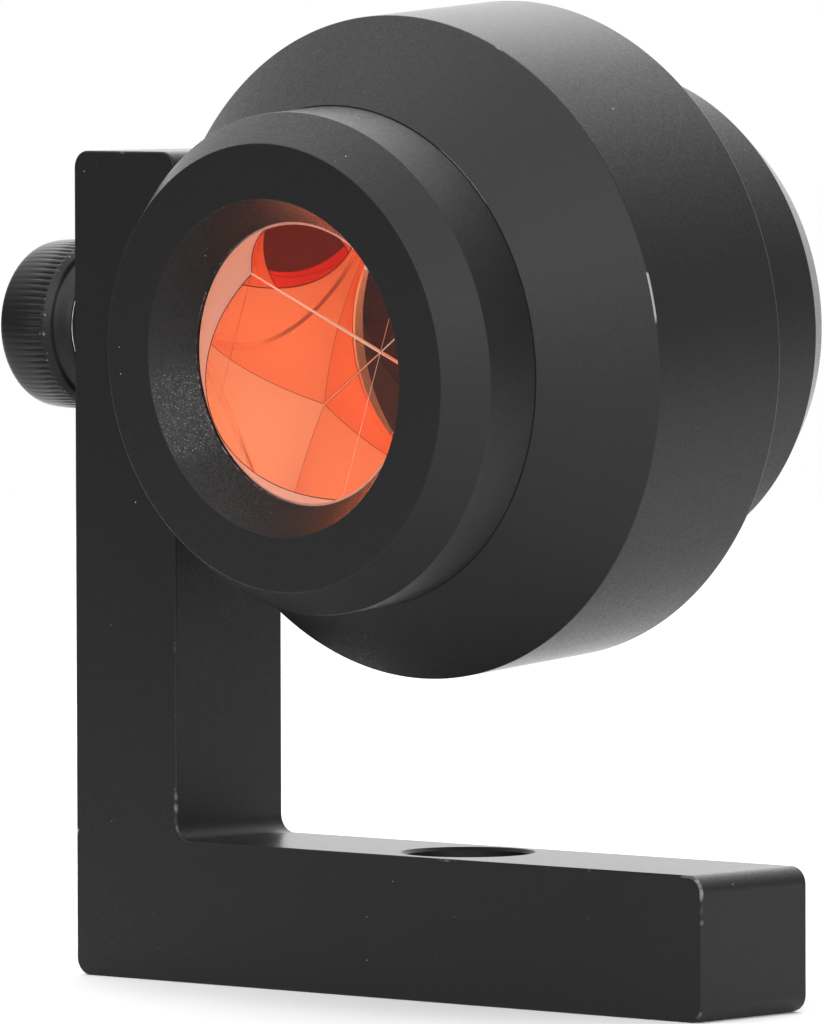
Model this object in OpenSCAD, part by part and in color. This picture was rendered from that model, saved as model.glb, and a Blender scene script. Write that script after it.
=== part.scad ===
// Surveying prism on an L-shaped bracket.
// A corner-cube prism sits in a turned canister, the canister is locked in a
// double-cone ring, and a knurled screw clamps the ring to the upright.
// Frame: origin at the mouth of the foot hole on the underside of the foot,
// +X along the foot, +Y away from the prism's front, +Z up.

/* [Bracket] */
// Width of the upright
leg_w = 12; // [11:0.5:13]
// Thickness of the foot
foot_t = 12.3; // [11:0.1:13.5]
// Depth of the bar, front to back
bar_d = 13.6; // [12.6:0.1:15]
// Overall height of the bracket
bracket_h = 72; // [70:0.5:76]
// Overall length of the foot
foot_l = 71.9; // [68:0.1:76]
// Distance from the upright's outer face to the foot hole's axis
hole_from_side = 39.8; // [39.8:0.1:40.4]
// Diameter of the hole in the foot
foot_hole_d = 11; // [8:0.1:11.5]
// Radius of the outer corners
corner_r = 1.5; // [0.5:0.1:3]
// Radius of the inner corner
inner_r = 1.6; // [0.5:0.1:3]

/* [Aim] */
// Height of the clamp axis above the underside of the foot
pivot_z = 56.6; // [54:0.1:60]
// Height of the clamp axis above the optical axis
pivot_rise = 0.4; // [0:0.1:1]
// Nose-down tilt at which the part is modelled
tilt = 4.35; // [0:0.05:10]

/* [Canister] */
// Outer radius of the canister
can_r = 21.25; // [21:0.05:21.5]
// Half of the canister's length, rear cap included
can_half = 24.6; // [24:0.1:26]
// Radius of the front and rear faces
face_r = 18.95; // [18:0.05:20]
// Length of the bevel at each end
bevel_l = 3.6; // [2:0.1:4.5]
// Radius of the sight recess at the front face
mouth_r = 14.25; // [13.5:0.05:15]
// Radius of the clear aperture
aperture_r = 12.0; // [11.9:0.05:12.0]
// Depth of the aperture lip behind the front face
lip_depth = 3.6; // [3:0.1:4]
// Thickness of the lip that keeps the glass in
lip_land = 0.2; // [0.15:0.05:0.4]

/* [Ring] */
// Outer radius of the ring
ring_r = 28.3; // [27.5:0.1:28.6]
// Half length of the ring's cylindrical band
band_half = 7.75; // [7:0.05:9]
// Half length of the ring over its cones
cone_half = 15.4; // [14:0.1:16]
// Distance from the optical axis to the flat facing the upright
flat_x = 27.3; // [26.5:0.1:27.5]

/* [Prism] */
// Radius of the glass
glass_r = 12.2; // [12.2:0.05:12.4]
// Height of the glass from its front face to its apex
glass_h = 18.3; // [18:0.1:18.6]
// Width of the ground chamfer round the front face
glass_chamfer = 0.4; // [0.4:0.05:0.6]
// Turn of the three roof faces about the optical axis
glass_roll = -34.8; // [-60:0.2:60]

/* [Clamp screw] */
// Radius over the knurl
knob_r = 7.2; // [6.5:0.1:7.5]
// Distance from the upright to the outer end of the knob
knob_out = 8.85; // [8:0.05:10]
// Number of teeth in the knurl
knurl_teeth = 80; // [40:2:90]
// Depth of the knurl
knurl_depth = 0.2; // [0.15:0.01:0.4]
// Radius of the screw thread
stud_r = 3.0; // [2.5:0.1:3]
// Thickness of the washer under the knob
washer_t = 1.2; // [0.8:0.1:1.3]

/* [Hidden] */
e = 0.01;
side_x = -hole_from_side;            // outer face of the upright
inner_x = side_x + leg_w;            // inner face of the upright
end_x = side_x + foot_l;             // free end of the foot
h = bar_d / 2;
bore_r = 13.5;                       // bore of the canister round the glass
seat_y = -can_half + lip_depth + lip_land;   // rear side of the aperture lip
// front face of the glass, whose chamfer rests on the rear edge of the lip
glass_y = seat_y - (aperture_r - glass_r + glass_chamfer);
apex_y = glass_y + glass_h;
seal_end = -19.6;                    // where the seal meets the centring sleeve
sleeve_end = -11;
plate_y = 0.5;                       // front side of the pressure plate
spring_y = plate_y + 1.5;
keeper_y = spring_y + 1.9;
keeper_end = keeper_y + 3.7;
step_y = 8.2;                        // where the bore widens for the rear cap
cap_r = 17;                          // bore that takes the rear cap's spigot
split_y = can_half - bevel_l;        // parting line of the rear cap, where the rear bevel starts

// A solid turned about the optical axis: points are [radius, distance along +Y]
module turned(p, fn = 128) rotate([-90, 0, 0]) rotate_extrude($fn = fn) polygon(p);

// A rod along +X from x0 to x1
module rod_x(x0, x1, r, fn = 64) translate([x0, 0, 0]) rotate([0, 90, 0])
    cylinder(h = x1 - x0, r = r, $fn = fn);

// Places the prism unit: turned about the clamp axis
module at_unit() translate([0, 0, pivot_z]) rotate([tilt, 0, 0])
    translate([0, 0, -pivot_rise]) children();

// Places what lies on the clamp axis
module at_clamp() translate([0, 0, pivot_z]) children();

// Waste outside a round corner whose arc centre is at x, z
module corner_waste(x, z, sx, sz, r) translate([x, 0, z]) difference() {
    translate([sx > 0 ? 0 : -r - 1, -h - 1, sz > 0 ? 0 : -r - 1])
        cube([r + 1, bar_d + 2, r + 1]);
    rotate([90, 0, 0]) translate([0, 0, -h - 2]) cylinder(h = bar_d + 4, r = r, $fn = 48);
}

module l_bracket() color([0.10, 0.10, 0.105]) difference() {
    union() {
        translate([side_x, -h, 0]) cube([foot_l, bar_d, foot_t]);
        translate([side_x, -h, 0]) cube([leg_w, bar_d, bracket_h]);
        difference() {
            translate([inner_x - e, -h, foot_t - e]) cube([inner_r + e, bar_d, inner_r + e]);
            translate([inner_x + inner_r, -h - 1, foot_t + inner_r]) rotate([-90, 0, 0])
                cylinder(h = bar_d + 2, r = inner_r, $fn = 48);
        }
    }
    corner_waste(side_x + corner_r, corner_r, -1, -1, corner_r);
    corner_waste(side_x + corner_r, bracket_h - corner_r, -1, 1, corner_r);
    corner_waste(inner_x - corner_r, bracket_h - corner_r, 1, 1, corner_r);
    corner_waste(end_x - corner_r, corner_r, 1, -1, corner_r);
    corner_waste(end_x - corner_r, foot_t - corner_r, 1, 1, corner_r);
    translate([0, 0, -1]) cylinder(h = foot_t + 2, d = foot_hole_d, $fn = 96);
    at_clamp() rod_x(side_x - 1, inner_x + 1, stud_r + 0.3);
}

module friction_washer() color([0.9, 0.9, 0.86]) at_clamp() difference() {
    rod_x(inner_x, -flat_x, 7, 96);
    rod_x(inner_x - 1, -flat_x + 1, stud_r + 0.3);
}

module clamp_washer() color([0.55, 0.55, 0.57]) at_clamp() difference() {
    rod_x(side_x - washer_t, side_x, 6, 96);
    rod_x(side_x - washer_t - 1, side_x + 1, stud_r + 0.3);
}

// Outline of the knurl, one crest and one root for each tooth
knurl_points = [for (i = [0 : knurl_teeth - 1], k = [0 : 3])
    let (a = 360 / knurl_teeth * (i + [0.0, 0.22, 0.5, 0.72][k]),
         r = k < 2 ? knob_r : knob_r - knurl_depth)
    [r * cos(a), r * sin(a)]];

module clamp_knob() color([0.11, 0.11, 0.115]) at_clamp() translate([side_x, 0, 0])
rotate([0, -90, 0]) difference() {
    intersection() {
        translate([0, 0, washer_t]) linear_extrude(height = knob_out - washer_t)
            polygon(knurl_points);
        rotate_extrude($fn = 128) polygon([
            [0, washer_t], [5.9, washer_t], [6.1, washer_t + 0.2], [6.5, 2.5],
            [6.85, 2.75], [knob_r + 0.02, 3.35], [knob_r + 0.02, knob_out - 0.35],
            [knob_r - 0.4, knob_out], [5.6, knob_out], [5.3, knob_out - 0.4],
            [0, knob_out - 0.4]]);
    }
    translate([0, 0, washer_t - 1]) cylinder(h = knob_out + 2, r = stud_r, $fn = 64);
}

// A threaded rod with a hex socket in its outer end
module clamp_stud() color([0.6, 0.6, 0.62]) at_clamp() difference() {
    translate([-21.9, 0, 0]) rotate([0, -90, 0]) rotate_extrude($fn = 64) polygon([
        [0, 0], [2.3, 0], [stud_r, 0.7], [stud_r, 24.6], [stud_r - 0.4, 25], [0, 25]]);
    translate([-21.9 - 25 - 1, 0, 0]) rotate([0, 90, 0])
        cylinder(h = 4, d = 3 / cos(30), $fn = 6);
}

module radial_hole(a, y, r, r0, r1) rotate([0, -a, 0]) translate([r0, y, 0]) rotate([0, 90, 0])
    cylinder(h = r1 - r0, r = r, $fn = 48);

module holder_ring() color([0.10, 0.10, 0.105]) at_unit() difference() {
    turned([[can_r + 0.05, -cone_half], [can_r + 0.3, -cone_half], [ring_r - 0.2, -band_half - 0.2],
            [ring_r, -band_half], [ring_r, band_half], [ring_r - 0.2, band_half + 0.2],
            [can_r + 0.3, cone_half], [can_r + 0.05, cone_half]], 180);
    translate([-flat_x - 10, -20, -20]) cube([10, 40, 40]);
    translate([0, 0, pivot_rise]) rod_x(-30, -20, 4);
    for (a = [90, 210, 330]) radial_hole(a, 11.4, 1.5, 18, 30);
}

module stud_insert() color([0.72, 0.6, 0.35]) at_unit() translate([0, 0, pivot_rise]) difference() {
    rod_x(-flat_x + 0.1, -21.4, 4);
    rod_x(-30, -20, stud_r + 0.05);
}

module canister_grub_screws() color([0.2, 0.2, 0.2]) at_unit() for (a = [90, 210, 330])
    difference() {
        radial_hole(a, 11.4, 1.5, can_r, 24.2);
        rotate([0, -a, 0]) translate([23, 11.4, 0]) rotate([0, 90, 0])
            cylinder(h = 3, d = 1.5 / cos(30), $fn = 6);
    }

module canister_body() color([0.10, 0.10, 0.105]) at_unit() turned([
    [mouth_r, -can_half], [face_r - 0.15, -can_half], [face_r, -can_half + 0.1],
    [can_r - 0.1, -can_half + bevel_l - 0.1], [can_r, -can_half + bevel_l + 0.1],
    [can_r, split_y - 0.1], [can_r - 0.1, split_y], [cap_r, split_y],
    [cap_r, step_y], [bore_r, step_y], [bore_r, seat_y],
    [aperture_r, seat_y], [aperture_r, seat_y - lip_land]], 180);

// A rubber ring in the corner between the lip, the bore and the glass
module front_seal() color([0.12, 0.12, 0.12]) at_unit()
    turned([[glass_r + 0.1, seat_y], [bore_r - 0.05, seat_y],
            [bore_r - 0.05, seal_end], [glass_r + 0.03, seal_end], [glass_r + 0.03, seat_y + 0.2]]);

// A cube standing on its corner, its three faces meeting at the apex
module cube_corner(size) translate([0, apex_y, 0]) rotate([90, 0, 0])
    rotate([0, 0, glass_roll]) rotate([0, -acos(1 / sqrt(3)), 0]) rotate([0, 0, -45])
    cube(size);

module prism_glass() color([0.85, 0.36, 0.22]) at_unit() intersection() {
    turned([[0, glass_y], [glass_r - glass_chamfer, glass_y], [glass_r, glass_y + glass_chamfer],
            [glass_r, apex_y + 1], [0, apex_y + 1]]);
    cube_corner(40);
}

module centring_sleeve() color([0.88, 0.88, 0.84]) at_unit()
    turned([[glass_r + 0.05, seal_end], [bore_r - 0.05, seal_end],
            [bore_r - 0.05, sleeve_end], [glass_r + 0.05, sleeve_end]]);

module prism_cushion() color([0.75, 0.75, 0.72]) at_unit() difference() {
    turned([[0, sleeve_end], [bore_r - 0.1, sleeve_end], [bore_r - 0.1, plate_y], [0, plate_y]]);
    cube_corner(40);
}

module pressure_plate() color([0.6, 0.6, 0.62]) at_unit()
    turned([[0, plate_y], [bore_r - 0.15, plate_y], [bore_r - 0.15, spring_y], [0, spring_y]]);

module disc_spring() color([0.5, 0.5, 0.52]) at_unit()
    turned([[7, spring_y], [12.85, spring_y + 1.15], [13, keeper_y], [7.15, spring_y + 0.75]]);

module retaining_ring() color([0.12, 0.12, 0.12]) at_unit() difference() {
    turned([[8, keeper_y], [bore_r, keeper_y], [bore_r, keeper_end], [8, keeper_end]]);
    translate([-20, keeper_end - 1.5, -1]) cube([40, 3, 2]);
}

module cap_seal() color([0.08, 0.08, 0.08]) at_unit() rotate([-90, 0, 0])
    translate([0, 0, split_y - 1.7]) rotate_extrude($fn = 96) translate([16.3, 0])
        circle(r = 0.65, $fn = 32);

module rear_cap() color([0.10, 0.10, 0.105]) at_unit() difference() {
    turned([[0, 20.5], [13.5, 20.5], [13.5, 12.6], [cap_r - 0.25, 12.6], [cap_r, 12.85],
            [cap_r, split_y - 2.6], [15.65, split_y - 2.6], [15.65, split_y - 0.8],
            [cap_r, split_y - 0.8], [cap_r, split_y], [can_r - 0.1, split_y],
            [face_r, can_half - 0.1], [face_r - 0.15, can_half], [0, can_half]], 180);
    for (s = [-1, 1]) translate([s * 12, 21.8, 0]) rotate([-90, 0, 0])
        cylinder(h = 5, r = 1.25, $fn = 48);
}

l_bracket();
friction_washer();
clamp_washer();
clamp_knob();
clamp_stud();
holder_ring();
stud_insert();
canister_grub_screws();
canister_body();
front_seal();
prism_glass();
centring_sleeve();
prism_cushion();
pressure_plate();
disc_spring();
retaining_ring();
cap_seal();
rear_cap();
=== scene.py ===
"""Looks of a surveying prism on an L-shaped bracket.

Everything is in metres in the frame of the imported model: origin at the mouth of the foot hole,
+X along the foot, +Y away from the prism's front, +Z up.
"""

import math

import bmesh
import bpy
from mathutils import Matrix, Vector


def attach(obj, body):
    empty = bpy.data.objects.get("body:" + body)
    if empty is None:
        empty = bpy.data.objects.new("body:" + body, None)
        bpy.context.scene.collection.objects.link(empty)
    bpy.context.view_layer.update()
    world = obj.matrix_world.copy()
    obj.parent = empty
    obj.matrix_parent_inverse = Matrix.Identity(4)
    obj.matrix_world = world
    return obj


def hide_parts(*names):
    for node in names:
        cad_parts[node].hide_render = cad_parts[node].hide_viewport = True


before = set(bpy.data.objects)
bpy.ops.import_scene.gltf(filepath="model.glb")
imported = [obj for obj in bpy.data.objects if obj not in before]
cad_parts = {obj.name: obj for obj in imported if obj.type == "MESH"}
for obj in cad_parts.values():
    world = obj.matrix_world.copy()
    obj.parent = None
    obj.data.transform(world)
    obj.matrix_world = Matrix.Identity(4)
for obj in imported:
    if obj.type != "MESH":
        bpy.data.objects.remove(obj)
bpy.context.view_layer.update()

MM = 0.001

# ---------------------------------------------------------------- sizes, mm
SIDE_X, INNER_X, END_X = -39.8, -27.8, 32.1
HALF_D, FOOT_T, TOP_Z = 6.8, 12.3, 72.0
PIVOT_Z, RISE, TILT = 56.6, 0.4, 4.35
CAN_R, CAN_HALF, FACE_R, BEVEL_L = 21.25, 24.6, 18.9, 3.6
MOUTH_R, APERTURE_R, LIP_Y, SEAT_Y = 14.25, 12.0, -21.0, -20.8
RING_R, BAND_HALF, CONE_HALF, FLAT_X = 28.3, 7.75, 15.4, 27.3
GLASS_R, GLASS_H, GLASS_Y, GLASS_ROLL, GLASS_CHAMFER = 12.2, 18.15, -20.85, -34.8, 0.43
KNOB_R, KNOB_OUT, TEETH, KNURL = 7.46, 8.85, 80, 0.17

UNIT = (
    Matrix.Translation((0, 0, PIVOT_Z * MM))
    @ Matrix.Rotation(math.radians(TILT), 4, "X")
    @ Matrix.Translation((0, 0, -RISE * MM))
)
CLAMP = Matrix.Translation((0, 0, PIVOT_Z * MM))
# axis of a lathed piece: local (r, along) -> along +Y of the unit, or along -X of the clamp
ALONG_Y = Matrix(((1, 0, 0, 0), (0, 0, 1, 0), (0, -1, 0, 0), (0, 0, 0, 1)))
ALONG_MINUS_X = Matrix(((0, 0, -1, 0), (0, 1, 0, 0), (1, 0, 0, 0), (0, 0, 0, 1)))

scene = bpy.context.scene
# light reaches the prism's ground barrel by many mirror and total reflections, which must stay sharp
scene.cycles.max_bounces, scene.cycles.glossy_bounces = 32, 24
scene.cycles.diffuse_bounces, scene.cycles.transmission_bounces = 12, 24
scene.cycles.blur_glossy = 0.0


# ---------------------------------------------------------------- mesh tools
def new_object(name, bm, matrix=Matrix.Identity(4), scale=MM):
    """A mesh object whose vertices are in the row frame; bm is in millimetres."""
    bmesh.ops.recalc_face_normals(bm, faces=bm.faces)
    me = bpy.data.meshes.new(name)
    bm.to_mesh(me)
    bm.free()
    me.transform(matrix @ Matrix.Scale(scale, 4))
    ob = bpy.data.objects.new(name, me)
    scene.collection.objects.link(ob)
    return ob


def rounded(points, steps=4):
    """A closed outline whose corners are rounded: points are (x, y, radius)."""
    out = []
    n = len(points)
    for i in range(n):
        p = Vector(points[i][:2])
        a, b = Vector(points[i - 1][:2]), Vector(points[(i + 1) % n][:2])
        r = points[i][2]
        u, v = (a - p), (b - p)
        lu, lv = u.length, v.length
        u.normalize(), v.normalize()
        ang = math.acos(max(-1, min(1, u.dot(v))))
        if r <= 0 or ang > math.radians(178):
            out.append((p.x, p.y))
            continue
        t = r / math.tan(ang / 2)
        t = min(t, 0.48 * lu, 0.48 * lv)
        r = t * math.tan(ang / 2)
        c = p + (u + v).normalized() * (r / math.sin(ang / 2))
        s, e = p + u * t - c, p + v * t - c
        turn = s.angle_signed(e) if s.length > 1e-9 else 0
        for k in range(steps + 1):
            q = s.copy()
            q.rotate(Matrix.Rotation(-turn * k / steps, 2))
            out.append((c.x + q.x, c.y + q.y))
    return out


def lathe(name, outline, segments, axis, place, steps=4):
    """Turns a closed outline (radius, along, corner radius) about its axis."""
    prof = rounded(outline, steps)
    bm = bmesh.new()
    rings = []
    for r, y in prof:
        if r < 1e-6:
            rings.append([bm.verts.new((0, 0, y))])
        else:
            rings.append(
                [
                    bm.verts.new(
                        (
                            r * math.cos(2 * math.pi * k / segments),
                            r * math.sin(2 * math.pi * k / segments),
                            y,
                        )
                    )
                    for k in range(segments)
                ]
            )
    n = len(rings)
    for i in range(n):
        a, b = rings[i], rings[(i + 1) % n]
        if len(a) == 1 and len(b) == 1:
            continue
        for k in range(segments):
            k2 = (k + 1) % segments
            if len(a) == 1:
                bm.faces.new((a[0], b[k2], b[k]))
            elif len(b) == 1:
                bm.faces.new((a[k], a[k2], b[0]))
            else:
                bm.faces.new((a[k], a[k2], b[k2], b[k]))
    return new_object(name, bm, place @ axis)


def cutter(name, outline, segments, axis, place, steps=2):
    ob = lathe(name, outline, segments, axis, place, steps)
    return ob


def carve(ob, cutters, operation="DIFFERENCE"):
    """Cuts the cutters out of ob for good and removes them."""
    for c in cutters:
        m = ob.modifiers.new("cut", "BOOLEAN")
        m.operation, m.solver, m.object = operation, "EXACT", c
    dg = bpy.context.evaluated_depsgraph_get()
    me = bpy.data.meshes.new_from_object(ob.evaluated_get(dg))
    old = ob.data
    ob.modifiers.clear()
    ob.data = me
    me.name = old.name
    bpy.data.meshes.remove(old)
    for c in cutters:
        m = c.data
        bpy.data.objects.remove(c)
        bpy.data.meshes.remove(m)
    return ob


def soft_bevel(ob, width, segments=3, angle=30):
    """A small round along every sharp edge, applied for good."""
    m = ob.modifiers.new("round", "BEVEL")
    m.width, m.segments, m.limit_method, m.angle_limit = (
        width * MM,
        segments,
        "ANGLE",
        math.radians(angle),
    )
    m.use_clamp_overlap = True
    dg = bpy.context.evaluated_depsgraph_get()
    me = bpy.data.meshes.new_from_object(ob.evaluated_get(dg))
    old = ob.data
    ob.modifiers.clear()
    ob.data = me
    me.name = old.name
    bpy.data.meshes.remove(old)
    return ob


def dress(ob, materials, sharp=32, edge=None):
    """Smooth shading that stays flat on flats, an 'edge' face attribute that masks the pale edges, from rubbing and
    from painted edge highlights, and the materials.
    """
    me = ob.data
    bm = bmesh.new()
    bm.from_mesh(me)
    bmesh.ops.remove_doubles(bm, verts=bm.verts, dist=1e-7)
    for f in bm.faces:
        f.smooth = True
    for e in bm.edges:
        e.smooth = not (
            len(e.link_faces) != 2 or e.calc_face_angle(0) > math.radians(sharp)
        )
    bm.to_mesh(me)
    bm.free()
    attribute = me.attributes.new("edge", "FLOAT", "FACE")
    attribute.data.foreach_set(
        "value", [float(edge(p)) if edge else 0.0 for p in me.polygons]
    )
    if not isinstance(materials, (list, tuple)):
        materials = [materials]
    if len(me.materials) == 0:
        for m in materials:
            me.materials.append(m)
    w = ob.modifiers.new("normals", "WEIGHTED_NORMAL")
    w.mode, w.weight, w.keep_sharp = "FACE_AREA", 90, True
    dg = bpy.context.evaluated_depsgraph_get()
    new = bpy.data.meshes.new_from_object(ob.evaluated_get(dg))
    ob.modifiers.clear()
    ob.data = new
    new.name = me.name
    bpy.data.meshes.remove(me)
    return ob


def near_corners(outline, axis, place, reach=1.25):
    """Says of a face whether it lies in the round of one of the outline's corners."""
    back = (place @ axis @ Matrix.Scale(MM, 4)).inverted()
    corners = [(x, y, r) for x, y, r in outline if r > 0]

    def test(p):
        q = back @ Vector(p.center)
        r = math.hypot(q.x, q.y)
        return any(
            (r - x) ** 2 + (q.z - y) ** 2 < (c * reach) ** 2 for x, y, c in corners
        )

    return test


# ---------------------------------------------------------------- materials
class Nodes:
    """A small helper to write node trees in a readable way."""

    def __init__(self, tree):
        self.t = tree
        tree.nodes.clear()

    def new(self, kind, **props):
        n = self.t.nodes.new("ShaderNode" + kind)
        for k, v in props.items():
            setattr(n, k, v)
        return n

    def link(self, a, b):
        self.t.links.new(a, b)

    def put(self, node, **values):
        for k, v in values.items():
            key = int(k[1:]) if k[0] == "i" and k[1:].isdigit() else k.replace("_", " ")
            socket = node.inputs[key]
            if isinstance(v, bpy.types.NodeSocket):
                self.link(v, socket)
            else:
                socket.default_value = v
        return node

    def math(self, op, a, b=0.0, c=0.0, clamp=False):
        n = self.new("Math", operation=op, use_clamp=clamp)
        self.put(n, i0=a, i1=b)
        if op in ("MULTIPLY_ADD", "SMOOTH_MIN", "COMPARE"):
            self.put(n, i2=c)
        return n.outputs[0]

    def spread(self, value, a, b, lo=0.0, hi=1.0):
        """Maps value from a..b to lo..hi, clamped."""
        n = self.new("MapRange", clamp=True)
        self.put(n, i0=value, i1=a, i2=b, i3=lo, i4=hi)
        return n.outputs[0]

    def mix(self, fac, a, b):
        n = self.new("Mix", data_type="RGBA")
        self.put(n, i0=fac, i6=a, i7=b)
        return n.outputs[2]

    def noise(self, vector, scale, detail=2.0, roughness=0.5, seed=0.0):
        n = self.new("TexNoise", noise_dimensions="4D")
        self.put(
            n, Vector=vector, Scale=scale, Detail=detail, Roughness=roughness, W=seed
        )
        return n.outputs[0]

    def cells(self, vector, scale, seed=0.0):
        n = self.new("TexVoronoi", voronoi_dimensions="4D", feature="F1")
        self.put(n, Vector=vector, Scale=scale, W=seed)
        return n.outputs["Distance"], n.outputs["Color"]

    def object_mm(self):
        """Object coordinates in millimetres."""
        c = self.new("TexCoord")
        m = self.new("Mapping")
        self.put(m, Vector=c.outputs["Object"], Scale=(1000, 1000, 1000))
        return m.outputs[0]


def material(name):
    m = bpy.data.materials.new(name)
    m.use_nodes = True
    return m, Nodes(m.node_tree)


def grey(v):
    return (v, v, v * 1.01, 1.0)


def anodised(
    name,
    base,
    rough=0.5,
    grain=14.0,
    bump=0.25,
    specks=0.5,
    pale_edge_amount=0.5,
    facets=0.0,
    seed=0.0,
    spec=0.25,
    nick=None,
    graze=0.45,
    blob=None,
    pale_edge_range=(0.52, 0.66),
    lit_edge_spots=(),
    pale_edge_scale=0.22,
    pale_edge_grey=0.30,
    painted_glints=None,
):
    """Bead-blasted and black anodised aluminium: fine grain, slow patches, sparse dust, pale rubbing on the edges; on
    some pieces the pale edges and the glints are painted highlights.
    """
    m, n = material(name)
    p = n.object_mm()
    fine = n.noise(p, grain, 3.0, 0.6, seed)
    slow = n.noise(p, 0.09, 3.0, 0.55, seed + 3)
    # base colour: slow patches and grain
    tone = n.math("MULTIPLY_ADD", n.spread(slow, 0.3, 0.7), 0.22, 0.89)
    tone = n.math("MULTIPLY", tone, n.spread(fine, 0.25, 0.75, 0.86, 1.14))
    colour = n.mix(tone, grey(0.0), grey(base))
    # dust: one small dot in a few of the cells
    d, c = n.cells(p, 2.0, seed + 1)
    sep = n.new("SeparateColor")
    n.put(sep, Color=c)
    dot = n.math("LESS_THAN", d, n.spread(sep.outputs[1], 0.0, 1.0, 0.06, 0.16))
    dot = n.math("MULTIPLY", dot, n.math("GREATER_THAN", sep.outputs[0], 1 - specks))
    colour = n.mix(n.math("MULTIPLY", dot, 0.75), colour, grey(0.45))
    # painted glints: lighter grain dots in one zone of the wall, where a highlight falls
    if painted_glints:
        at, reach = painted_glints
        g = n.new("VectorMath", operation="DISTANCE")
        n.put(g, i0=p, i1=at)
        d, c = n.cells(p, 7.5, seed + 20)
        sep = n.new("SeparateColor")
        n.put(sep, Color=c)
        glint_dot = n.math("MULTIPLY", n.spread(d, 0.3, 0.6, 1.0, 0.0), n.math("GREATER_THAN", sep.outputs[0], 0.15))
        near = n.spread(n.math("MULTIPLY_ADD", fine, 1.5, g.outputs["Value"]), reach * 0.9, reach * 1.3, 1.0, 0.0)
        colour = n.mix(n.math("MULTIPLY", glint_dot, n.math("MULTIPLY", near, sep.outputs[1])), colour, grey(0.13))
    # pale edges along the rounds: rubbing, and a painted edge highlight on the washer, the knob and the ring's lit
    # spots
    att = n.new("Attribute", attribute_name="edge")
    patches = n.noise(p, pale_edge_scale, 7.0, 0.66, seed + 7)
    pale_edge_mask = n.math("MULTIPLY", n.spread(patches, *pale_edge_range), pale_edge_amount)
    # painted highlights: pale patches on the rounds around given spots, where the edges catch the light
    for at, reach in lit_edge_spots:
        g = n.new("VectorMath", operation="DISTANCE")
        n.put(g, i0=p, i1=at)
        ragged = n.math("MULTIPLY_ADD", n.noise(p, 1.6, 3.0, 0.6, seed + 4), reach * 0.8, g.outputs["Value"])
        pale_edge_mask = n.math("MAXIMUM", pale_edge_mask, n.spread(ragged, reach * 1.2, reach * 1.4, 0.9, 0.0))
    pale_edge_mask = n.math("MULTIPLY", pale_edge_mask, att.outputs["Fac"])
    if nick:
        at, size = nick
        g = n.new("VectorMath", operation="DISTANCE")
        n.put(g, i0=p, i1=at)
        shape = n.math(
            "ADD",
            g.outputs["Value"],
            n.math("MULTIPLY", n.noise(p, 2.2, 3.0, 0.6, 5.0), 1.1),
        )
        pale_edge_mask = n.math("MAXIMUM", pale_edge_mask, n.spread(shape, size + 0.35, size + 0.55, 0.85, 0.0))
    # the pale grey laid on the masked edges: rubbing, and on some pieces a painted highlight
    colour = n.mix(pale_edge_mask, colour, grey(pale_edge_grey))
    if blob:
        g = n.new("VectorMath", operation="DISTANCE")
        n.put(g, i0=p, i1=blob)
        colour = n.mix(n.spread(g.outputs["Value"], 0.32, 0.38, 1.0, 0.0), colour, grey(0.8))
    # relief of the blasted skin
    r = n.math("MULTIPLY_ADD", fine, 0.16, rough - 0.08)
    r = n.math("SUBTRACT", r, n.math("MULTIPLY", pale_edge_mask, 0.12))
    # seen along the surface, a blasted skin turns glossier
    lw = n.new("LayerWeight")
    lw.inputs["Blend"].default_value = 0.5
    r = n.math("MULTIPLY", r, n.spread(lw.outputs["Facing"], 0.55, 0.97, 1.0, graze))
    coarse = n.noise(p, grain * 0.35, 2.0, 0.5, seed + 9)
    height = n.math("ADD", fine, n.math("MULTIPLY", coarse, 0.6))
    b = n.new("Bump")
    n.put(b, Strength=bump, Distance=0.00004, Height=height)
    normal = b.outputs[0]
    if facets:
        # each dent of the blasted skin leans its own way
        away = n.cells(p, 7.5, seed + 12)[1]
        lean = n.new("VectorMath", operation="SUBTRACT")
        n.put(lean, i0=away, i1=(0.5, 0.5, 0.5))
        tip = n.new("VectorMath", operation="SCALE")
        n.put(tip, i0=lean.outputs[0], Scale=facets)
        total = n.new("VectorMath", operation="ADD")
        n.put(total, i0=normal, i1=tip.outputs[0])
        unit = n.new("VectorMath", operation="NORMALIZE")
        n.put(unit, i0=total.outputs[0])
        normal = unit.outputs[0]
    s = n.new("BsdfPrincipled")
    n.put(s, Base_Color=colour, Roughness=r, Normal=normal)
    s.inputs["Specular IOR Level"].default_value = spec
    out = n.new("OutputMaterial")
    n.link(s.outputs[0], out.inputs[0])
    return m


def metal(name, colour, rough=0.3, turned=0.0, seed=0.0, axis="Y"):
    """Bare or plated metal with fine machining lines and slight stains."""
    m, n = material(name)
    p = n.object_mm()
    slow = n.noise(p, 0.35, 3.0, 0.6, seed)
    fine = n.noise(p, 9.0, 2.0, 0.5, seed + 2)
    dark = tuple(x * 0.72 for x in colour[:3]) + (1.0,)
    c = n.mix(n.spread(slow, 0.35, 0.7), dark, colour)
    r = n.math("MULTIPLY_ADD", fine, 0.18, rough - 0.09)
    height = fine
    if turned:
        w = n.new("TexWave", wave_type="BANDS", bands_direction=axis)
        n.put(w, Vector=p, Scale=turned, Distortion=0.6, Detail=1.0)
        height = n.math("ADD", height, w.outputs[1])
    b = n.new("Bump")
    n.put(b, Strength=0.15, Distance=0.00003, Height=height)
    s = n.new("BsdfPrincipled")
    n.put(s, Base_Color=c, Roughness=r, Normal=b.outputs[0])
    s.inputs["Metallic"].default_value = 1.0
    out = n.new("OutputMaterial")
    n.link(s.outputs[0], out.inputs[0])
    return m


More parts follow.
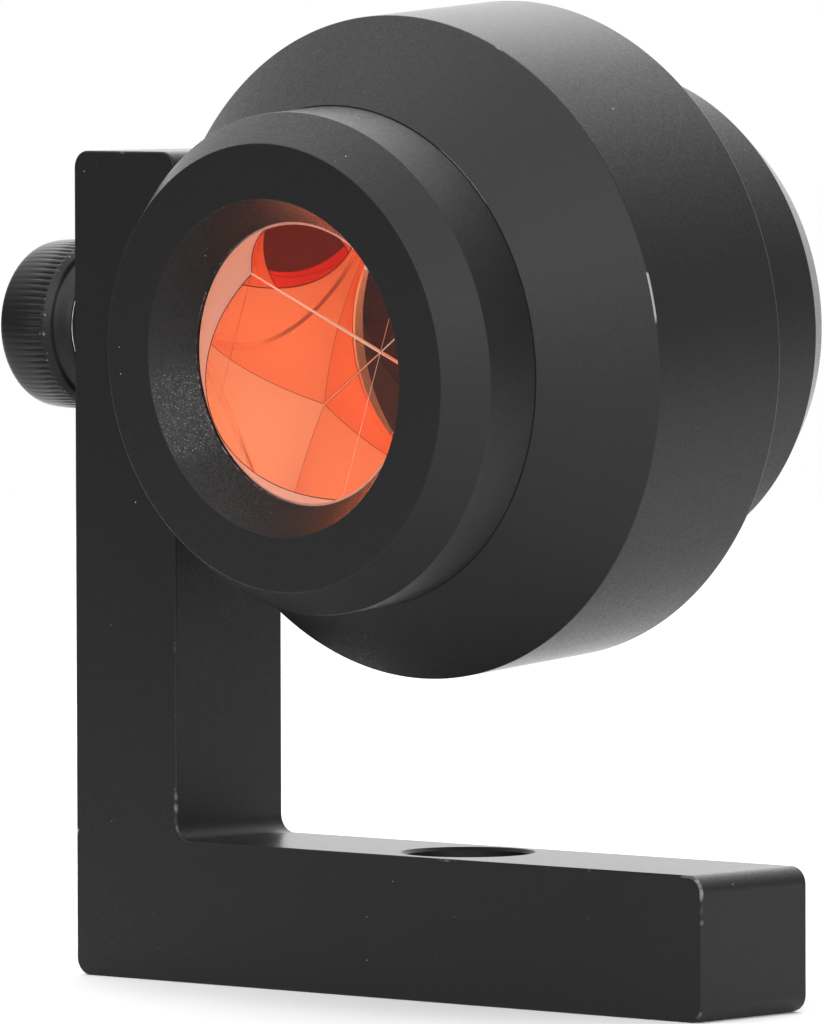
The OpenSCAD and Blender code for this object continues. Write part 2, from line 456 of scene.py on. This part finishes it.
def moulded(name, colour, rough=0.6, seed=0.0, spec=0.4):
    """Rubber, nylon or silicone: matte, with a faint mottle."""
    m, n = material(name)
    p = n.object_mm()
    slow = n.noise(p, 0.6, 3.0, 0.6, seed)
    fine = n.noise(p, 12.0, 2.0, 0.5, seed + 2)
    dark = tuple(x * 0.8 for x in colour[:3]) + (1.0,)
    c = n.mix(n.spread(slow, 0.3, 0.7), dark, colour)
    r = n.math("MULTIPLY_ADD", fine, 0.14, rough - 0.07)
    b = n.new("Bump")
    n.put(b, Strength=0.2, Distance=0.00003, Height=fine)
    s = n.new("BsdfPrincipled")
    n.put(s, Base_Color=c, Roughness=r, Normal=b.outputs[0])
    s.inputs["Specular IOR Level"].default_value = spec
    out = n.new("OutputMaterial")
    n.link(s.outputs[0], out.inputs[0])
    return m


def optical_glass(name):
    """Clear glass with a breath of unevenness in its polish."""
    m, n = material(name)
    p = n.object_mm()
    smear = n.noise(p, 0.4, 3.0, 0.6, 2.0)
    s = n.new("BsdfPrincipled")
    n.put(s, Roughness=n.spread(smear, 0.5, 0.8, 0.0, 0.004))
    s.inputs["Base Color"].default_value = (1.0, 1.0, 1.0, 1.0)
    s.inputs["Transmission Weight"].default_value = 1.0
    s.inputs["IOR"].default_value = 1.517
    # a few specks of dust
    d, c = n.cells(p, 1.3, 3.0)
    sep = n.new("SeparateColor")
    n.put(sep, Color=c)
    dot = n.math("LESS_THAN", d, n.spread(sep.outputs[1], 0.0, 1.0, 0.05, 0.12))
    dot = n.math("MULTIPLY", dot, n.math("GREATER_THAN", sep.outputs[0], 0.82))
    dust = n.new("BsdfDiffuse")
    n.put(dust, Color=grey(0.7))
    mix = n.new("MixShader")
    n.put(mix, i0=n.math("MULTIPLY", dot, 0.6))
    n.link(s.outputs[0], mix.inputs[1])
    n.link(dust.outputs[0], mix.inputs[2])
    out = n.new("OutputMaterial")
    n.link(mix.outputs[0], out.inputs[0])
    return m


def copper_film(name, colour, rough, variation):
    """Copper plating seen through the glass."""
    m, n = material(name)
    p = n.object_mm()
    slow = n.noise(p, 0.16, 2.0, 0.5, 4.0)
    deep = (colour[0], colour[1] * (1 - variation), colour[2] * (1 - variation), 1.0)
    s = n.new("BsdfPrincipled")
    n.put(
        s,
        Base_Color=n.mix(n.spread(slow, 0.3, 0.7), deep, colour),
        Roughness=n.spread(slow, 0.3, 0.7, rough * 0.8, rough * 1.2),
    )
    s.inputs["Metallic"].default_value = 1.0
    out = n.new("OutputMaterial")
    n.link(s.outputs[0], out.inputs[0])
    return m


def ground_glass(name, seed=0.0):
    """The front bevel: finely ground, it scatters light both ways; toward +X it is nearly polished and clear."""
    m, n = material(name)
    p = n.object_mm()
    fine = n.noise(p, 5.0, 3.0, 0.6, seed)
    c = n.mix(fine, (0.86, 0.84, 0.83, 1), (0.97, 0.96, 0.95, 1))
    front = n.new("BsdfDiffuse")
    n.put(front, Color=c)
    through = n.new("BsdfTranslucent")
    n.put(through, Color=c)
    both = n.new("MixShader")
    both.inputs[0].default_value = 0.6
    n.link(front.outputs[0], both.inputs[1])
    n.link(through.outputs[0], both.inputs[2])
    inner = n.new("BsdfDiffuse")
    inner.inputs["Color"].default_value = (0.98, 0.98, 0.98, 1)
    geo = n.new("NewGeometry")
    pick = n.new("MixShader")
    n.put(pick, i0=geo.outputs["Backfacing"])
    n.link(both.outputs[0], pick.inputs[1])
    n.link(inner.outputs[0], pick.inputs[2])
    side = n.new("SeparateXYZ")
    n.put(side, i0=p)
    clear = n.new("BsdfPrincipled")
    clear.inputs["Base Color"].default_value = (1.0, 1.0, 1.0, 1.0)
    clear.inputs["Roughness"].default_value = 0.0
    clear.inputs["Transmission Weight"].default_value = 1.0
    clear.inputs["IOR"].default_value = 1.517
    mix = n.new("MixShader")
    n.put(mix, i0=n.spread(side.outputs[0], 10.0, 11.3, 0.0, 0.6))
    n.link(pick.outputs[0], mix.inputs[1])
    n.link(clear.outputs[0], mix.inputs[2])
    out = n.new("OutputMaterial")
    n.link(mix.outputs[0], out.inputs[0])
    return m


def ground_copper(name, colour, seed=0.0):
    """Finely ground glass with copper over it: pale and dull, as the barrel and the bevels look from inside."""
    m, n = material(name)
    p = n.object_mm()
    slow = n.noise(p, 0.25, 3.0, 0.6, seed)
    fine = n.noise(p, 6.0, 3.0, 0.6, seed + 1)
    dark = (colour[0] * 0.97, colour[1] * 0.93, colour[2] * 0.9, 1.0)
    c = n.mix(n.math("MULTIPLY_ADD", slow, 0.7, n.math("MULTIPLY", fine, 0.3)), dark, colour)
    s = n.new("BsdfPrincipled")
    n.put(s, Base_Color=c, Roughness=n.spread(fine, 0.2, 0.8, 0.75, 0.95))
    s.inputs["Specular IOR Level"].default_value = 0.0
    out = n.new("OutputMaterial")
    n.link(s.outputs[0], out.inputs[0])
    return m


NICK = ((SIDE_X + 0.1, -HALF_D + 0.1, 12.6), 0.35)
M_BRACKET = anodised(
    "bracket_anodised", 0.007, 0.5, 13, 0.22, 0.05, 0.9, 0.1, 1.0, 0.35, nick=NICK, pale_edge_range=(0.58, 0.7)
)
M_HOUSING = anodised("housing_anodised", 0.007, 0.5, 11, 0.3, 0.03, 0.8, 0.12, 2.0, 0.35, pale_edge_range=(0.68, 0.76))
SEALANT = tuple(UNIT @ Vector((0.0083, -0.02125, 0.00836)) / MM)
# centre of the painted glints on the recess wall
GLINT_ZONE = tuple(UNIT @ Vector((-0.0124, -0.0229, -0.0044)) / MM)
M_RECESS = anodised(
    "recess_anodised", 0.007, 0.45, 9, 0.35, 0.16, 0.9, 0.2, 5.0, 0.35,
    blob=SEALANT, pale_edge_range=(0.5, 0.6), pale_edge_scale=1.8, pale_edge_grey=0.6, painted_glints=(GLINT_ZONE, 4.2),
)
# painted highlights on the ring: its front cone's inner edge and its front band edge, where they catch the light
RING_LIT_SPOTS = (((14.6, -16.5, 70.7), 3.6), ((27.9, -8.1, 60.5), 2.2))
M_RING = anodised("ring_anodised", 0.007, 0.5, 11, 0.3, 0.03, 0.8, 0.12, 6.0, 0.35, pale_edge_range=(0.64, 0.74), lit_edge_spots=RING_LIT_SPOTS)
# the pale dots at the inner ends of the knurl crests are burrs with painted glints
M_KNOB = anodised(
    "knob_anodised", 0.007, 0.42, 14, 0.15, 0.03, 0.95, 0.0, 8.0, 0.35, pale_edge_range=(0.6, 0.66), pale_edge_scale=1.6, pale_edge_grey=0.6
)
M_STEEL = metal("washer_steel", (0.56, 0.55, 0.53, 1), 0.3)
# black washer; its pale rim, laid on with the edge settings, is a painted highlight
M_WASHER_LIT_RIM = anodised(
    "washer_black", 0.007, 0.42, 14, 0.1, 0.0, 1.0, 0.0, 4.0, 0.35, pale_edge_range=(0.36, 0.5), pale_edge_scale=1.2, pale_edge_grey=0.9
)
M_BLACK_STEEL = metal("black_steel", (0.06, 0.06, 0.062, 1), 0.38, 6.0, 1.0)
M_BRASS = metal("brass", (0.78, 0.58, 0.28, 1), 0.28, 5.0, 2.0, "X")
M_ALU = metal("plain_aluminium", (0.78, 0.78, 0.79, 1), 0.32, 4.0, 3.0)
M_NYLON = moulded("white_nylon", (0.78, 0.78, 0.74, 1), 0.5, 1.0)
M_RUBBER = moulded("black_rubber", (0.02, 0.02, 0.021, 1), 0.65, 2.0)
M_SILICONE = moulded("silicone", (0.5, 0.5, 0.47, 1), 0.55, 3.0)
M_GLASS = optical_glass("prism_glass_clear")
M_COPPER = copper_film("prism_copper", (0.98, 0.635, 0.455, 1), 0.0, 0.04)
M_GROUND = ground_copper("prism_barrel", (0.98, 0.98, 0.98, 1), 1.0)
M_EDGE = ground_copper("prism_bevel", (0.98, 0.86, 0.74, 1), 2.0)
M_SEAM = ground_copper("prism_hairline", (0.1, 0.015, 0.01, 1), 3.0)
M_CHAMFER = ground_glass("prism_chamfer", 4.0)


# ---------------------------------------------------------------- bracket
def make_bracket():
    co, ci = 1.5, 1.6
    outline = rounded(
        [
            (SIDE_X, 0, co),
            (END_X, 0, co),
            (END_X, FOOT_T, co),
            (INNER_X, FOOT_T, ci),
            (INNER_X, TOP_Z, co),
            (SIDE_X, TOP_Z, co),
        ],
        steps=10,
    )
    bm = bmesh.new()
    loops = [[bm.verts.new((x, y, z)) for x, z in outline] for y in (-HALF_D, HALF_D)]
    bm.faces.new(loops[0])
    bm.faces.new(loops[1])
    n = len(outline)
    for i in range(n):
        j = (i + 1) % n
        bm.faces.new((loops[0][i], loops[0][j], loops[1][j], loops[1][i]))
    ob = new_object("bracket", bm)
    soft_bevel(ob, 0.22, 3, 60)
    hole = cutter(
        "hole",
        [(0, -2, 0), (6.9, -2, 0), (6.9, -1.1, 0), (5.5, 0.3, 0), (5.5, 12.0, 0), (6.9, 13.4, 0), (6.9, 14, 0), (0, 14, 0)],
        192,
        Matrix.Identity(4),
        Matrix.Identity(4),
    )
    bore = cutter(
        "bore",
        [(0, 26, 0), (3.3, 26, 0), (3.3, 39.6, 0), (3.6, 39.9, 0), (3.6, 42, 0), (0, 42, 0)],
        96,
        ALONG_MINUS_X,
        CLAMP,
    )
    carve(ob, [hole, bore])

    def edge(p):
        return 0.03 < abs(p.normal.y) < 0.97

    dress(ob, M_BRACKET, 32, edge)
    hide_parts("l_bracket")
    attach(ob, "bracket")
    return ob


# ---------------------------------------------------------------- prism unit
def make_canister():
    outline = [
        (MOUTH_R, -CAN_HALF + 0.002, 0.12),
        (FACE_R, -CAN_HALF + 0.002, 0.16),
        (CAN_R, -CAN_HALF + BEVEL_L, 0.22),
        (CAN_R, 21.0 - 0.02, 0.08),
        (17.0, 21.0 - 0.02, 0.05),
        (17.0, 8.2, 0.0),
        (13.5, 8.2, 0.0),
        (13.5, SEAT_Y, 0.0),
        (APERTURE_R, SEAT_Y, 0.03),
        (APERTURE_R, LIP_Y, 0.07),
    ]
    ob = lathe("canister", outline, 288, ALONG_Y, UNIT)
    # a speck of sealant at the lip
    bm = bmesh.new()
    bm.from_mesh(ob.data)
    speck = bmesh.ops.create_icosphere(bm, subdivisions=3, radius=0.22 * MM)["verts"]
    for v in speck:
        v.co *= 1 + 0.16 * math.sin(9000 * v.co.x + 2) * math.cos(11000 * v.co.z)
        v.co = Vector((v.co.x, v.co.y * 0.9, v.co.z * 1.25)) + Vector(SEALANT) * MM
    bm.to_mesh(ob.data)
    bm.free()
    ob.data.materials.append(M_HOUSING)
    ob.data.materials.append(M_RECESS)
    back = (UNIT @ ALONG_Y @ Matrix.Scale(MM, 4)).inverted()
    for p in ob.data.polygons:
        q = back @ Vector(p.center)
        if math.hypot(q.x, q.y) < MOUTH_R - 0.05 and q.z < SEAT_Y + 0.1:
            p.material_index = 1
    dress(ob, [], 32, near_corners(outline, ALONG_Y, UNIT))
    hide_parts("canister_body")
    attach(ob, "prism_unit")


def radial(angle, y):
    """Places a tool along a radius of the unit at that angle."""
    return (
        UNIT
        @ Matrix.Rotation(math.radians(-angle), 4, "Y")
        @ Matrix.Translation((0, y * MM, 0))
    )


OUTWARD = Matrix(((0, 0, 1, 0), (0, 1, 0, 0), (-1, 0, 0, 0), (0, 0, 0, 1)))


def make_ring():
    outline = [
        (CAN_R - 0.02, -CONE_HALF + 0.4, 0.0),
        (CAN_R - 0.02, -CONE_HALF, 0.0),
        (CAN_R + 0.1, -CONE_HALF, 0.03),
        (RING_R, -BAND_HALF, 0.28),
        (RING_R, BAND_HALF, 0.28),
        (CAN_R + 0.3, CONE_HALF, 0.08),
        (CAN_R + 0.06, CONE_HALF, 0.03),
    ]
    ob = lathe("clamp_ring", outline, 360, ALONG_Y, UNIT)
    tools = []
    bm = bmesh.new()
    bmesh.ops.create_cube(bm, size=1.0)
    bmesh.ops.scale(bm, vec=(10, 40, 40), verts=bm.verts)
    bmesh.ops.translate(bm, vec=(-FLAT_X - 5, 0, 0), verts=bm.verts)
    tools.append(new_object("flat", bm, UNIT))
    tools.append(
        cutter(
            "insert_seat",
            [(0, 20, 0), (4.0, 20, 0), (4.0, 30, 0), (0, 30, 0)],
            96,
            ALONG_MINUS_X,
            UNIT @ Matrix.Translation((0, 0, RISE * MM)),
        )
    )
    for a in (90, 210, 330):
        # the hole opens on the rear cone
        tools.append(
            cutter("grub", [(0, 18, 0), (1.5, 18, 0), (1.5, 30, 0), (0, 30, 0)], 48, OUTWARD, radial(a, 11.4))
        )
    carve(ob, tools)
    dress(ob, M_RING, 32, near_corners(outline, ALONG_Y, UNIT))
    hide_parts("holder_ring")
    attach(ob, "prism_unit")


def make_cap():
    outline = [
        (0, 20.5, 0),
        (13.5, 20.5, 0),
        (13.5, 12.6, 0),
        (16.95, 12.6, 0.2),
        (16.95, 18.4, 0.05),
        (15.65, 18.4, 0),
        (15.65, 20.2, 0),
        (16.95, 20.2, 0.05),
        (16.95, 21.0, 0),
        (CAN_R - 0.05, 21.0 + 0.02, 0.06),
        (FACE_R, CAN_HALF, 0.2),
        (0, CAN_HALF, 0),
    ]
    ob = lathe("rear_cover", outline, 288, ALONG_Y, UNIT)
    tools = []
    for s in (-1, 1):
        tools.append(
            cutter(
                "pin_hole",
                [(0, 21.8, 0), (1.25, 21.8, 0), (1.25, 24.35, 0), (1.75, 24.85, 0), (1.75, 26, 0), (0, 26, 0)],
                48,
                ALONG_Y,
                UNIT @ Matrix.Translation((s * 12 * MM, 0, 0)),
            )
        )
    carve(ob, tools)
    dress(ob, M_HOUSING, 32, near_corners(outline, ALONG_Y, UNIT))
    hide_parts("rear_cap")
    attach(ob, "prism_unit")


def make_glass():
    """The corner cube: flat front, ground barrel, three copper-plated roof faces with bevelled edges."""
    apex = Vector((0, 0, GLASS_Y + GLASS_H))  # in lathe coordinates: x, -z of the unit, along
    seg = 240
    bm = bmesh.new()
    outline = [
        (0, GLASS_Y),
        (GLASS_R - GLASS_CHAMFER, GLASS_Y),
        (GLASS_R - 0.2, GLASS_Y + GLASS_CHAMFER - 0.2),
        (GLASS_R, GLASS_Y + GLASS_CHAMFER),
        (GLASS_R, GLASS_Y + GLASS_H + 2),
        (0, GLASS_Y + GLASS_H + 2),
    ]
    rings = []
    for r, y in outline:
        if r == 0:
            rings.append([bm.verts.new((0, 0, y))])
        else:
            rings.append([bm.verts.new((r * math.cos(2 * math.pi * k / seg), r * math.sin(2 * math.pi * k / seg), y)) for k in range(seg)])
    for a, b in zip(rings, rings[1:]):
        for k in range(seg):
            k2 = (k + 1) % seg
            if len(a) == 1:
                bm.faces.new((a[0], b[k2], b[k]))
            elif len(b) == 1:
                bm.faces.new((a[k], a[k2], b[0]))
            else:
                bm.faces.new((a[k], a[k2], b[k2], b[k]))
    # the three cube axes in the unit frame, as in the CAD source
    turn = (
        Matrix.Rotation(math.radians(90), 3, "X")
        @ Matrix.Rotation(math.radians(GLASS_ROLL), 3, "Z")
        @ Matrix.Rotation(-math.acos(1 / math.sqrt(3)), 3, "Y")
        @ Matrix.Rotation(math.radians(-45), 3, "Z")
    )
    to_lathe = ALONG_Y.to_3x3().inverted()
    axes = [to_lathe @ (turn @ Vector(v)) for v in ((1, 0, 0), (0, 1, 0), (0, 0, 1))]
    gap = 0.02  # clear of the seat behind it
    for a in axes:
        bmesh.ops.bisect_plane(bm, geom=bm.verts[:] + bm.edges[:] + bm.faces[:], plane_co=apex + a * gap, plane_no=-a, clear_outer=True)
        edges = [e for e in bm.edges if e.is_boundary]
        bmesh.ops.contextual_create(bm, geom=edges)
    bmesh.ops.recalc_face_normals(bm, faces=bm.faces)
    # bevel the three roof edges, each by its own width
    for along, width in zip(axes, (0.025, 0.15, 0.18)):
        roof = []
        for e in bm.edges:
            if len(e.link_faces) == 2 and e.calc_length() > 1.0:
                n0, n1 = (f.normal for f in e.link_faces)
                line = (e.verts[0].co - e.verts[1].co).normalized()
                if abs(n0.dot(n1)) < 0.01 and abs(line.dot(along)) > 0.999:
                    roof.append(e)
        bmesh.ops.bevel(bm, geom=roof, offset=width, offset_type="OFFSET", segments=1, affect="EDGES", profile=0.5)
        bmesh.ops.recalc_face_normals(bm, faces=bm.faces)

    def kind(f):
        if f.normal.z < -0.999:
            return 0
        if any(abs(f.normal.dot(a)) > 0.9999 for a in axes):
            return 1
        if f.calc_center_median().z < GLASS_Y + GLASS_CHAMFER - 0.2:
            return 5
        if f.calc_center_median().z < GLASS_Y + GLASS_CHAMFER:
            return 2
        if abs(f.normal.z) < 0.01:
            return 2
        return 3

    for f in bm.faces:
        f.material_index = kind(f)
    # a hairline where the roof faces meet the barrel
    for f in [f for f in bm.faces if f.material_index == 1]:
        strips = bmesh.ops.inset_region(bm, faces=[f], thickness=0.09, use_even_offset=True)["faces"]
        for s in strips:
            if any(g.material_index == 2 for e in s.edges for g in e.link_faces):
                s.material_index = 4
    ob = new_object("corner_cube", bm, UNIT @ ALONG_Y)
    for m in (M_GLASS, M_COPPER, M_GROUND, M_EDGE, M_SEAM, M_CHAMFER):
        ob.data.materials.append(m)
    dress(ob, [], 20)
    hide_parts("prism_glass")
    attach(ob, "prism_unit")


# ---------------------------------------------------------------- clamp screw
def make_knob():
    """Straight knurl, deepest at the inner end: each crest is cut off where the turned outline is lower."""
    def skin(z):
        pts = [
            (1.2, 6.0), (1.32, 6.12), (2.5, 6.62), (2.58, 6.68), (2.7, 6.92), (2.8, 7.02), (3.3, 7.38), (3.42, 7.43),
            (4.4, 7.46), (6.0, 7.45), (7.2, 7.41), (7.9, 7.35), (8.3, 7.25), (8.5, 7.15), (8.68, 7.01), (8.8, 6.84),
            (8.85, 6.72),
        ]
        for (z0, r0), (z1, r1) in zip(pts, pts[1:]):
            if z <= z1:
                return r0 + (r1 - r0) * (z - z0) / (z1 - z0)
        return pts[-1][1]

    per = 10
    total = TEETH * per
    levels = [1.2, 1.32, 1.7, 2.1, 2.5, 2.56, 2.62, 2.7, 2.78, 2.82, 2.86, 2.94, 3.02, 3.1, 3.2, 3.3, 3.36, 3.42, 3.6,
              4.4, 5.0, 5.6, 6.2, 6.8, 7.4, 8.0, 8.3, 8.46, 8.5, 8.56, 8.62, 8.68, 8.74, 8.8, 8.85]

    def groove(k, z):
        """How far the surface lies below the crests: a narrow round-bottomed groove in each pitch."""
        t = abs((k % per) / per - 0.5) / 0.3
        cut = 0.0 if t >= 1 else (1 - t * t) ** 1.5
        fade = 1 - 0.7 * min(1.0, max(0.0, (z - 3.5) / 1.5)) - 0.22 * min(1.0, max(0.0, (z - 4.8) / 2.4))
        start = min(1.0, max(0.0, (z - 3.2) / 0.3))
        return KNURL * start * fade * cut

    bm = bmesh.new()
    rings = []
    for z in levels:
        ring = []
        for k in range(total):
            a = 2 * math.pi * k / total
            r = min(skin(z), KNOB_R - groove(k, z), skin(z) - 0.6 * groove(k, z)) if z > 2.6 else skin(z)
            ring.append(bm.verts.new((r * math.cos(a), r * math.sin(a), z)))
        rings.append(ring)
    # outer end: flat rim, shallow dish, bore
    for r, z in ((6.4, 8.85), (5.75, 8.85), (5.66, 8.82), (5.34, 8.5), (5.26, 8.45), (3.35, 8.45), (3.05, 8.2), (3.05, 1.4), (3.2, 1.2), (5.8, 1.2)):
        rings.append([bm.verts.new((r * math.cos(2 * math.pi * k / total), r * math.sin(2 * math.pi * k / total), z)) for k in range(total)])
    n = len(rings)
    for i in range(n):
        a, b = rings[i], rings[(i + 1) % n]
        for k in range(total):
            k2 = (k + 1) % total
            bm.faces.new((a[k], a[k2], b[k2], b[k]))
    place = CLAMP @ Matrix.Translation((SIDE_X * MM, 0, 0))
    ob = new_object("knob", bm, place @ ALONG_MINUS_X)
    back = (place @ ALONG_MINUS_X @ Matrix.Scale(MM, 4)).inverted()

    # the inner ends of the crests, which take the burrs' pale dots and painted glints
    def edge(p):
        q = back @ Vector(p.center)
        return 3.1 < q.z < 3.6 and math.hypot(q.x, q.y) > 7.2

    dress(ob, M_KNOB, 40, edge)
    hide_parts("clamp_knob")
    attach(ob, "clamp_screw")


def make_stud():
    outline = [
        (0, 0, 0), (2.3, 0, 0), (3.0, 0.7, 0.1), (3.0, 24.5, 0.1), (2.5, 25.0, 0.1), (0, 25.0, 0),
    ]
    place = CLAMP @ Matrix.Translation((-21.9 * MM, 0, 0))
    ob = lathe("clamp_screw_rod", outline, 96, ALONG_MINUS_X, place)
    bm = bmesh.new()
    r = 1.5 / math.cos(math.radians(30))
    rings = []
    for rr, z in ((r, 21.6), (r, 24.85), (r + 0.5, 25.35)):
        rings.append([bm.verts.new((rr * math.cos(math.radians(60 * k)), rr * math.sin(math.radians(60 * k)), z)) for k in range(6)])
    tip = bm.verts.new((0, 0, 20.9))
    for k in range(6):
        k2 = (k + 1) % 6
        bm.faces.new((rings[0][k2], rings[0][k], tip))
        bm.faces.new((rings[0][k], rings[0][k2], rings[1][k2], rings[1][k]))
        bm.faces.new((rings[1][k], rings[1][k2], rings[2][k2], rings[2][k]))
    bm.faces.new(rings[2])
    carve(ob, [new_object("hex", bm, place @ ALONG_MINUS_X)])
    dress(ob, M_BLACK_STEEL, 32)
    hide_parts("clamp_stud")
    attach(ob, "clamp_screw")


def make_washers():
    outline = [(3.3, 0.02, 0.05), (5.98, 0.02, 0.1), (5.98, 1.18, 0.16), (3.3, 1.18, 0.05)]
    place = CLAMP @ Matrix.Translation((SIDE_X * MM, 0, 0))
    ob = lathe("steel_washer", outline, 192, ALONG_MINUS_X, place)
    dress(ob, M_WASHER_LIT_RIM, 32, near_corners(outline, ALONG_MINUS_X, place))
    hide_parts("clamp_washer")
    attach(ob, "washer")
    outline = [(3.35, 0.0, 0.03), (7.0, 0.0, 0.08), (7.0, 0.48, 0.08), (3.35, 0.48, 0.03)]
    place = CLAMP @ Matrix.Translation((-FLAT_X * MM, 0, 0))
    ob = lathe("nylon_washer", outline, 192, ALONG_MINUS_X, place)
    dress(ob, M_NYLON, 32)
    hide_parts("friction_washer")
    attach(ob, "bracket")


make_bracket()
make_canister()
make_ring()
make_cap()
make_glass()
make_knob()
make_stud()
make_washers()

# the carried-over nodes keep their shape and take their finish
KEPT = {
    "stud_insert": M_BRASS,
    "canister_grub_screws": M_BLACK_STEEL,
    "front_seal": M_RUBBER,
    "centring_sleeve": M_NYLON,
    "prism_cushion": M_SILICONE,
    "pressure_plate": M_ALU,
    "disc_spring": M_STEEL,
    "retaining_ring": M_BLACK_STEEL,
    "cap_seal": M_RUBBER,
}
for node, mat in KEPT.items():
    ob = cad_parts[node]
    ob.data.materials.clear()
    ob.data.materials.append(mat)

# ---------------------------------------------------------------- stage
# the studio's soft lights: azimuth, elevation, tightness, strength
LAMPS = (
    (312, 20, 8, 3.05),  # window above the viewer
    (340, 10, 8, 2.1),  # wall at the right
    (60, 40, 8, 0.4),  # a little from behind on the right
    (120, 75, 8, 1.7),  # overhead
    (120, 50, 8, 2.95),  # high at the back
    (120, 10, 6, 1.1),  # backdrop
    (185, 50, 8, 0.6),  # high at the left
    (260, 50, 8, 1.9),  # high in front
)


def direction(azimuth, elevation):
    a, e = math.radians(azimuth), math.radians(elevation)
    return (math.cos(e) * math.cos(a), math.cos(e) * math.sin(a), math.sin(e))


def make_floor():
    bm = bmesh.new()
    bmesh.ops.create_circle(bm, cap_ends=True, segments=128, radius=6.0)
    me = bpy.data.meshes.new("floor")
    bm.to_mesh(me)
    bm.free()
    ob = bpy.data.objects.new("floor", me)
    ob.location.z = -0.00002
    scene.collection.objects.link(ob)
    m, n = material("pale_floor")
    c = n.new("TexCoord")
    length = n.new("VectorMath", operation="LENGTH")
    n.put(length, i0=c.outputs["Object"])
    far = n.spread(length.outputs["Value"], 0.25, 0.9)
    path = n.new("LightPath")
    pale = n.new("BsdfDiffuse")
    n.put(pale, Color=(0.86, 0.86, 0.86, 1))
    # painted shade: to the object's reflections and bounce light the floor's colour darkens toward the front left,
    # standing in for the light falling off there
    side = n.new("VectorMath", operation="DOT_PRODUCT")
    n.put(side, i0=c.outputs["Object"], i1=(0.3, 0.95, 0.0))
    dim = n.new("BsdfDiffuse")
    n.put(dim, Color=n.mix(n.spread(side.outputs["Value"], -0.22, 0.02), (0.28, 0.28, 0.28, 1), (0.8, 0.8, 0.8, 1)))
    pick = n.new("MixShader")
    n.put(pick, i0=path.outputs["Is Camera Ray"])
    n.link(dim.outputs[0], pick.inputs[1])
    n.link(pale.outputs[0], pick.inputs[2])
    clear = n.new("BsdfTransparent")
    mix = n.new("MixShader")
    n.put(mix, i0=far)
    n.link(pick.outputs[0], mix.inputs[1])
    n.link(clear.outputs[0], mix.inputs[2])
    out = n.new("OutputMaterial")
    n.link(mix.outputs[0], out.inputs[0])
    me.materials.append(m)


def make_world():
    """White behind the object; for its light and its reflections a few wide soft lights in a dark room."""
    w = bpy.data.worlds.new("studio")
    scene.world = w
    w.use_nodes = True
    n = Nodes(w.node_tree)
    c = n.new("TexCoord")

    def toward(azimuth, elevation):
        dot = n.new("VectorMath", operation="DOT_PRODUCT")
        n.put(dot, i0=c.outputs["Generated"], i1=direction(azimuth, elevation))
        return dot.outputs["Value"]

    total = 0.0
    for azimuth, elevation, tight, strength in LAMPS:
        fall = n.math("MULTIPLY", n.math("SUBTRACT", toward(azimuth, elevation), 1.0), float(tight))
        total = n.math("ADD", total, n.math("MULTIPLY", n.math("EXPONENT", fall), strength))
    # the side the picture is taken from stays dark
    total = n.math("MULTIPLY", total, n.spread(toward(312, 3), 0.978, 0.993, 1.0, 0.004))
    path = n.new("LightPath")
    seen = path.outputs["Is Camera Ray"]
    total = n.math("ADD", n.math("MULTIPLY", total, n.math("SUBTRACT", 1.0, seen)), seen)
    bg = n.new("Background")
    n.put(bg, Color=(1.0, 1.0, 1.0, 1), Strength=total)
    out = n.new("OutputWorld")
    n.link(bg.outputs[0], out.inputs[0])


make_floor()
make_world()

# ---------------------------------------------------------------- camera
cam = bpy.data.cameras.new("camera")
cam.lens = 395.76
cam.sensor_width = 36
cam.sensor_fit = "AUTO"
cam.clip_start, cam.clip_end = 0.05, 50
co = bpy.data.objects.new("camera", cam)
scene.collection.objects.link(co)
co.matrix_world = Matrix(
    (
        (0.74333186, -0.03054771, 0.66822495, 0.638672),
        (0.66891861, 0.03749435, -0.74238944, -0.716713),
        (-0.00237636, 0.99882982, 0.04830468, 0.087841),
        (0, 0, 0, 1),
    )
)
scene.camera = co
scene.view_settings.view_transform = "Standard"
